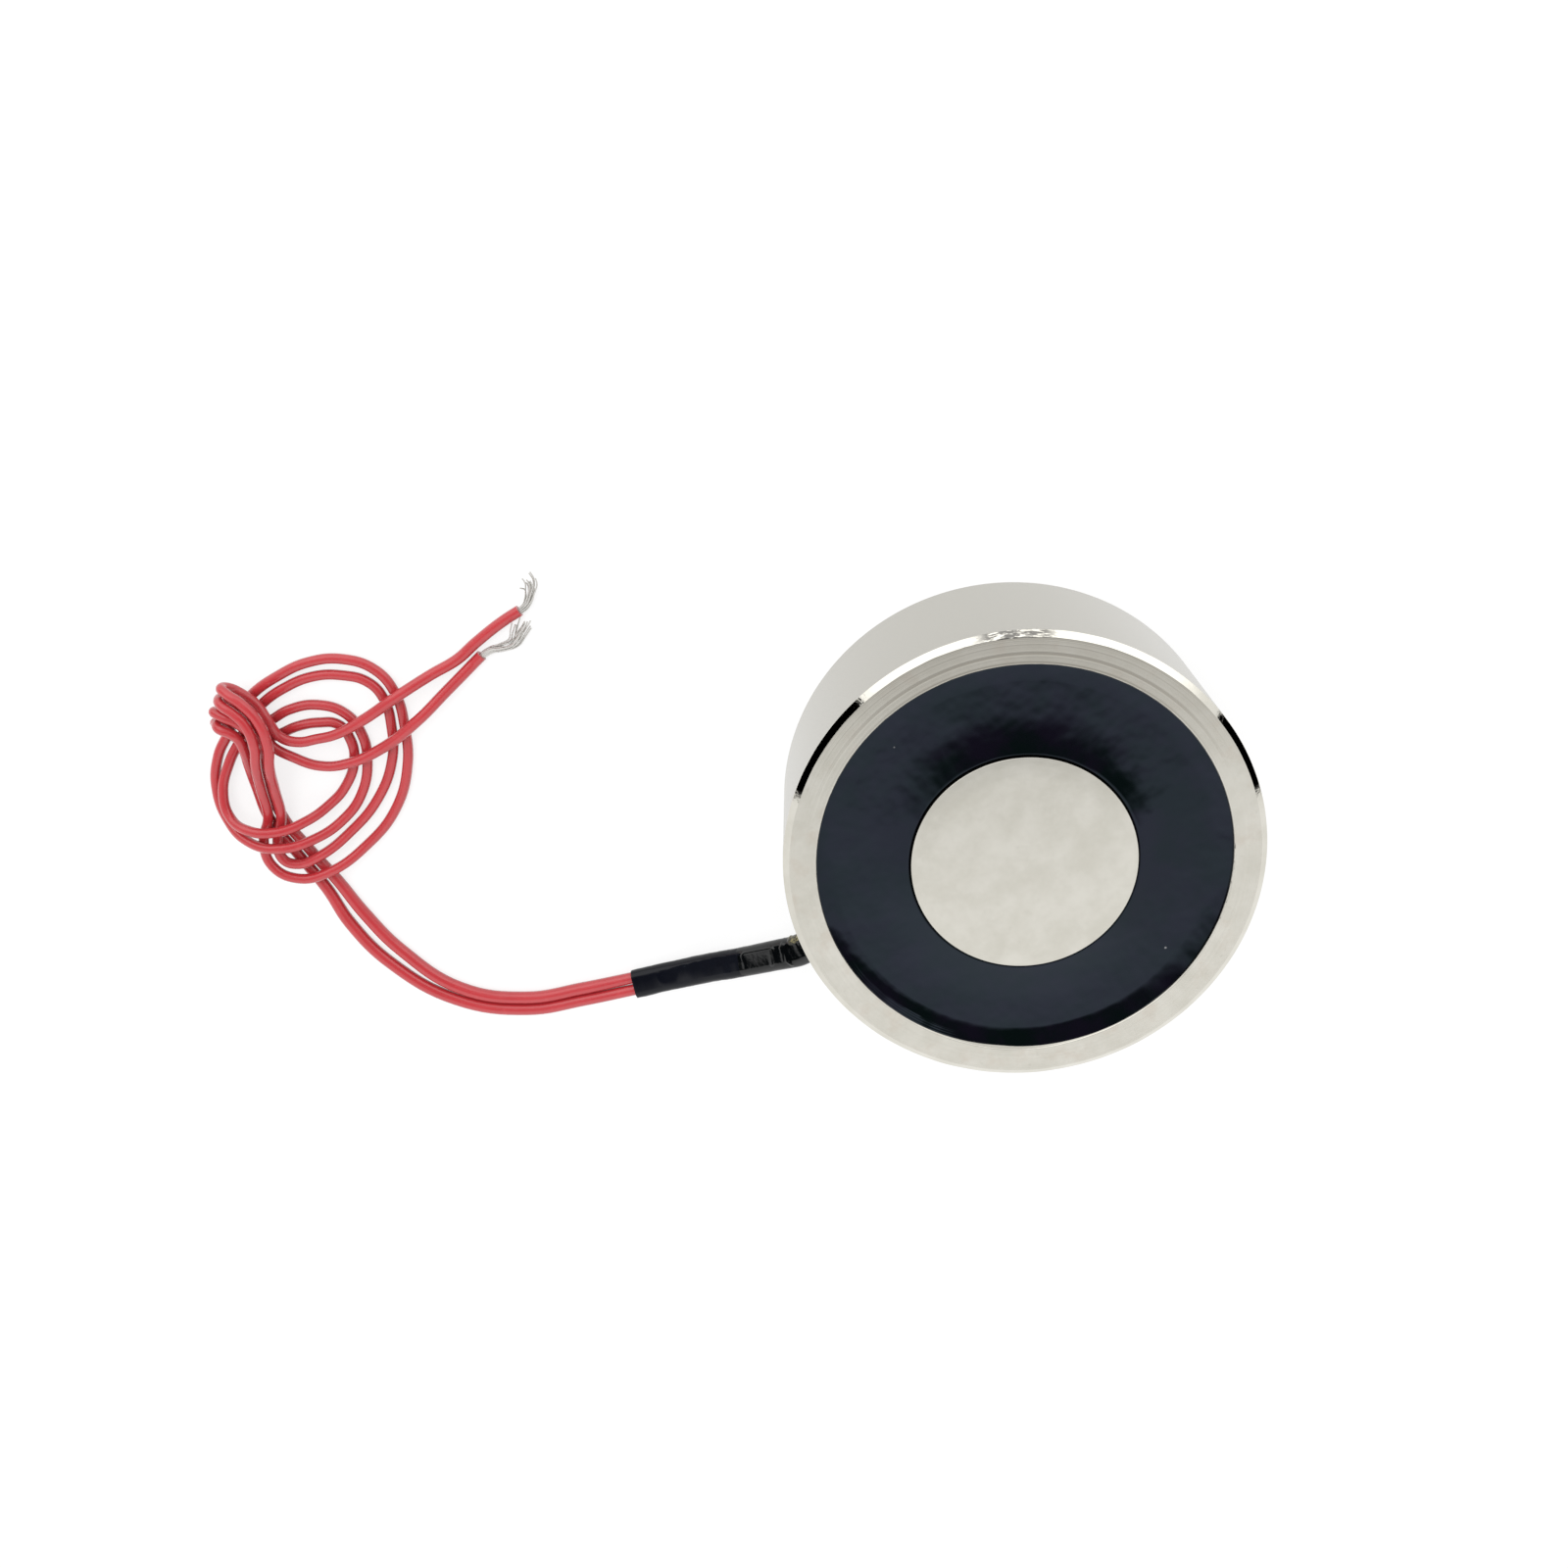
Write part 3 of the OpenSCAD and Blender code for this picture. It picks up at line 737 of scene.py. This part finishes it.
def flat_sleeve(finish):
    """The shrunk sleeve round the pair, with its bore, from the side wall down to the floor."""
    sides, half_pitch = 48, WIRE_R + PAIR_GAP / 2
    route = smooth_route(sleeve_middle(), 12)[:-1]
    outer, inner = [], []
    for i, p in enumerate(route):
        along, side = heading(route, i).normalized(), left_of(route, i)
        lean = sleeve_lean(p.x - POT_R)
        clear = SLEEVE_R + SLEEVE_LIFT + half_pitch * math.sin(lean)
        ring = stadium(Vector((p.x, p.y, max(p.z, clear))), along, side, half_pitch, SLEEVE_R, sides, lean)
        outer.append([q + (q - p).normalized() * skin_wave(q) for q in ring])
        inner.append(stadium(p, along, side, half_pitch, SLEEVE_IN, sides, lean))
    rings = outer + inner[::-1]
    points = [p for ring in rings for p in ring]
    made = piece_from("flat_sleeve", points, tube_faces(len(rings), sides, True), finish, "heat_shrink", 50)
    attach(made, "root")
    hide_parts("lead_sleeve")
    return made


def from_line(point, start, end):
    """How far a point of the glue's skin is from a straight line between two others."""
    point, start, end = Vector(point), Vector(start), Vector(end)
    share = (point - start).dot(end - start) / (end - start).length_squared
    return (point - start.lerp(end, min(1, max(0, share)))).length


def glue_crease(out, across):
    """How far the skin of glue stands up on its top:
    the rim of a long blister, which is sunk inside, and the creases between it and the pot."""
    crease_h, crease_w, sunk, sunk_edge = 0.14, 0.15, 0.06, 0.06
    blister, blister_r = ((6.4, -0.6), (9.4, -0.65)), 0.6
    creases = [
        ((5.3, -0.7), (6.5, 0.4)), ((5.3, -0.7), (4.3, 0.8)),
        ((4.8, -1.4), (5.3, -0.7)), ((3.9, -1.5), (2.7, -1)),
    ]
    from_rim = from_line((out, across), *blister) - blister_r
    height = crease_h * math.exp(-(from_rim / crease_w) ** 2) - sunk / (1 + math.exp(from_rim / sunk_edge))
    for crease in creases:
        height = max(height, crease_h * math.exp(-(from_line((out, across), *crease) / crease_w) ** 2))
    return height


def glue_seal(finish):
    """The lump of glue that fills the exit hole and runs out along the sleeve as a creased skin."""
    sides, half_pitch = 144, WIRE_R + PAIR_GAP / 2
    in_hole, collar, collar_reach, skin, least = 0.1, 0.8, 0.7, 0.12, 0.01
    full = smooth_route(sleeve_middle(), 36)
    route = [p for p in full if POT_R - GLUE_IN <= p.x <= POT_R + GLUE_REACH]
    rings = []
    for i, p in enumerate(route):
        out = p.x - POT_R
        thick = collar * math.exp(-max(out, 0) / collar_reach) + skin * (1 - max(out, 0) / GLUE_REACH)
        along, side = heading(route, i).normalized(), left_of(route, i)
        ring = stadium(p, along, side, half_pitch, SLEEVE_R, sides, sleeve_lean(out))
        grown = []
        for k, q in enumerate(ring):
            lump = 1 + 0.5 * noise.noise(q * 0.8)
            wall = in_hole if out < 0 else thick * lump
            if out > 0.3 and k < sides / 2:
                wall += glue_crease(out, (q - p).dot(side))
            grown.append(q + (q - p).normalized() * max(wall, least))
        rings.append(grown)
    points = [p for ring in rings for p in ring]
    made = piece_from("glue_seal", points, tube_faces(len(rings), sides, False), finish, "black_glue", 60)
    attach(made, "root")
    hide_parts("exit_seal")
    return made


def tapped_thread(finish):
    """The helical crest of the thread in the back hole."""
    steps, start, sunk, foot_w, crest_w = 40, 0.9, 0.05, 0.3, 0.06
    points = []
    count = THREAD_TURNS * steps + 1
    for k in range(count):
        a, z = 2 * math.pi * k / steps, start + THREAD_PITCH * k / steps
        fade = min(1, k / steps, (count - 1 - k) / steps)
        foot, crest = TAP_R + sunk, TAP_R - THREAD_DEPTH * fade
        for r, dz in ((foot, foot_w), (crest, crest_w), (crest, -crest_w), (foot, -foot_w)):
            points.append((r * math.cos(a), r * math.sin(a), z + dz))
    made = piece_from("tapped_thread", points, tube_faces(count, 4, False), finish, "plated_steel")
    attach(made, "root")


def dress_inside(nodes):
    """Finishes of the CAD parts inside the pot."""
    finishes = {
        "bobbin": moulded_nylon(), "coil_winding": wound_copper(), "coil_tape": film_tape(),
        "splice_a": soft_solder(), "splice_sleeve_a": joint_sleeving()}
    finishes["splice_b"], finishes["splice_sleeve_b"] = finishes["splice_a"], finishes["splice_sleeve_a"]
    for name, finish in finishes.items():
        nodes[name].data.materials.clear()
        nodes[name].data.materials.append(finish)


def leads():
    red, tin = red_insulation(), tinned_wire()
    strands_a = bare_strands("tinned_end_a", STRANDS_A, seed=11, count=11, spread=0.55,
                             finish=tin, node="strands_a")
    strands_b = bare_strands("tinned_end_b", STRANDS_B, seed=5, count=16, spread=0.7,
                             finish=tin, node="strands_b")
    lead_a = cord_piece("red_lead_a", [lead_route(1)], WIRE_R, red, roundness=4, thickness=girth)
    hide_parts("lead_wire_a")
    lead_b = cord_piece("red_lead_b", [lead_route(-1)], WIRE_R, red, roundness=4, thickness=girth)
    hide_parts("lead_wire_b")


# Studio

def set_camera():
    data = bpy.data.cameras.new("camera")
    data.sensor_width, data.sensor_fit, data.lens = 36, "HORIZONTAL", LENS
    data.clip_start, data.clip_end = 0.01, 10
    camera = bpy.data.objects.new("camera", data)
    bpy.context.scene.collection.objects.link(camera)
    look = (AIM - EYE).normalized()
    side = look.cross(PICTURE_TOP).normalized()
    turn = Matrix((side, side.cross(look), -look)).transposed()
    camera.matrix_world = Matrix.Translation(EYE) @ turn.to_4x4()
    bpy.context.scene.camera = camera


def pale_floor():
    """A floor that shows white, with the object's shadow, to the camera and in reflections."""
    half, drop = 3, 0.00002
    made, b = finish_named("pale_floor")
    ray = b.node("ShaderNodeLightPath", out="Is Camera Ray")
    seen = b.most(ray, b.output(ray, "Is Glossy Ray"), b.output(ray, "Is Transmission Ray"))
    shaded = b.node("ShaderNodeBsdfDiffuse", {}, {"Color": rgb(0.25, 0.25, 0.25)})
    glow = b.node("ShaderNodeEmission", {}, {"Color": rgb(1, 1, 1), "Strength": 0.77})
    white = b.node("ShaderNodeAddShader", {}, {0: shaded, 1: glow})
    plain = b.node("ShaderNodeBsdfDiffuse", {}, {"Color": rgb(0.6, 0.6, 0.6)})
    either = b.node("ShaderNodeMixShader", {}, {0: seen, 1: plain, 2: white})
    b.node("ShaderNodeOutputMaterial", {}, {"Surface": either})
    mesh = bpy.data.meshes.new("floor")
    corners = [(-half, -half, -drop), (half, -half, -drop), (half, half, -drop), (-half, half, -drop)]
    mesh.from_pydata(corners, [], [(0, 1, 2, 3)])
    mesh.materials.append(made)
    floor = bpy.data.objects.new("floor", mesh)
    bpy.context.scene.collection.objects.link(floor)


def from_picture(right, top, up):
    """A heading given along the picture's right, its top along the floor, and up."""
    return (right * RIGHTWARD + top * TOPWARD + Vector((0, 0, up))).normalized()


def studio_world():
    """A white room, brighter low down past the picture's top, with a dimmer ceiling and one bright spot.
    Mirror-sharp surfaces show brighter windows, a dark ceiling and a dark wall at each side,
    and the camera itself sees plain white."""
    world = bpy.data.worlds.new("studio")
    bpy.context.scene.world = world
    b = Board(world)
    way = b.node("ShaderNodeTexCoord", out="Generated")

    def patch(heading, inner, outer):
        """A round patch round a heading, whole within one angle of it and gone at another, in degrees."""
        near = b.dot(way, from_picture(*heading))
        return b.rise(near, math.cos(math.radians(outer)), math.cos(math.radians(inner)))

    def overhead(right, top, inner, outer):
        """A round patch whose middle is given in degrees off straight up, to the picture's right and top."""
        return patch((math.tan(math.radians(right)), math.tan(math.radians(top)), 1), inner, outer)

    windows = b.most(patch((0.5, 0.8, 0.33), 15, 38), patch((-0.4, 0.85, 0.33), 15, 38))
    front = overhead(0, -52, 14, 34)
    ceiling = b.most(overhead(5, 15.5, 20, 37), overhead(42, 8, 12, 25), overhead(-42, 8, 14, 28),
                     overhead(-30, 0, 13, 19), overhead(28, 4, 9, 20))
    walls = b.most(patch((-0.90, 0.23, 0.37), 17.5, 19.5), patch((0.988, 0.107, 0.112), 11, 13))
    mirrored = (1 + 0.8 * windows + 0.3 * front) * (1 - ceiling) * (1 - walls)
    dim, spot = overhead(0, 16, 20, 43), overhead(-22, 35, 14, 34)
    spread = (1 + 0.25 * windows) * (1 - 0.6 * dim) + 0.6 * spot
    ray = b.node("ShaderNodeLightPath", out="Is Camera Ray")
    sharp = b.output(ray, "Is Singular Ray")
    level = sharp * mirrored + (1 - sharp) * spread
    back = b.node("ShaderNodeBackground", {}, {"Color": rgb(1, 1, 1), "Strength": ray + (1 - ray) * level})
    b.node("ShaderNodeOutputWorld", {}, {"Surface": back})


def soft_lamp(name, over, height_mm, size_mm, power):
    """A square lamp above a place that is given along the picture's right and its top, in millimetres.
    It lights the object but isn't mirrored in it."""
    data = bpy.data.lights.new(name, "AREA")
    data.size, data.energy = size_mm * MM, power
    lamp = bpy.data.objects.new(name, data)
    bpy.context.scene.collection.objects.link(lamp)
    lamp.location = (over[0] * RIGHTWARD + over[1] * TOPWARD + Vector((0, 0, height_mm))) * MM
    lamp.visible_glossy = False


def studio():
    bpy.context.scene.view_settings.view_transform = "Standard"
    pale_floor()
    studio_world()
    soft_lamp("lamp_over", over=(-150, 250), height_mm=600, size_mm=400, power=1.8)


set_camera()
sleeve = flat_sleeve(shrink_sleeve())
seal = glue_seal(exit_glue())
leads()
plate = nickel_plate()
steel_pot(plate)
tapped_thread(plate)
cast_resin(casting_resin())
dress_inside(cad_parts)
studio()
